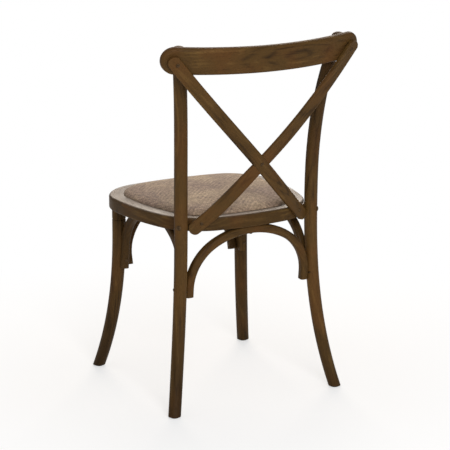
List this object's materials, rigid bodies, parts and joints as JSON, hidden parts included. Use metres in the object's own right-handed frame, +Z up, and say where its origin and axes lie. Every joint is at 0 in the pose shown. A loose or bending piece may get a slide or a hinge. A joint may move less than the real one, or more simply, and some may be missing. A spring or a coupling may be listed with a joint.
{
  "type": "dining chair",
  "caption": "Bent-wood dining chair with a crossed-slat back, bowed crest rail, arched braces below the seat ring and a drop-in woven seat.",
  "frame": {"origin": "on the floor under the middle of the chair's bounding box", "axes": "+Z up, the front of the seat faces -Y, +X is the sitter's left"},
  "size_m": [0.518, 0.517, 0.8807],
  "materials": {
    "frame_wood": "satin",
    "plywood": "raw",
    "foam": "matte",
    "rattan": "woven, matte",
    "screw_steel": "dark, satin",
    "glide_plastic": "matte"
  },
  "bodies": {
    "root": {"crest_rail": "frame_wood", "left_back_post": "frame_wood", "right_back_post": "frame_wood", "left_cross_slat": "frame_wood", "right_cross_slat": "frame_wood", "seat_ring_front": "frame_wood", "seat_ring_rear": "frame_wood", "post_spacers": "frame_wood", "left_front_leg": "frame_wood", "right_front_leg": "frame_wood", "front_hoop": "frame_wood", "rear_hoop": "frame_wood", "left_hoop": "frame_wood", "right_hoop": "frame_wood", "slat_top_screws": "screw_steel", "slat_foot_screws": "screw_steel", "cross_screw": "screw_steel", "crest_screws": "screw_steel", "post_bolts": "screw_steel", "post_bolt_nuts": "screw_steel", "rear_hoop_screws": "screw_steel", "hoop_screws": "screw_steel", "hoop_crown_screws": "screw_steel", "seat_board_screws": "screw_steel", "seat_board": "plywood", "seat_padding": "foam", "woven_seat_cover": "rattan", "foot_glides": "glide_plastic"}
  },
  "joints": []
}
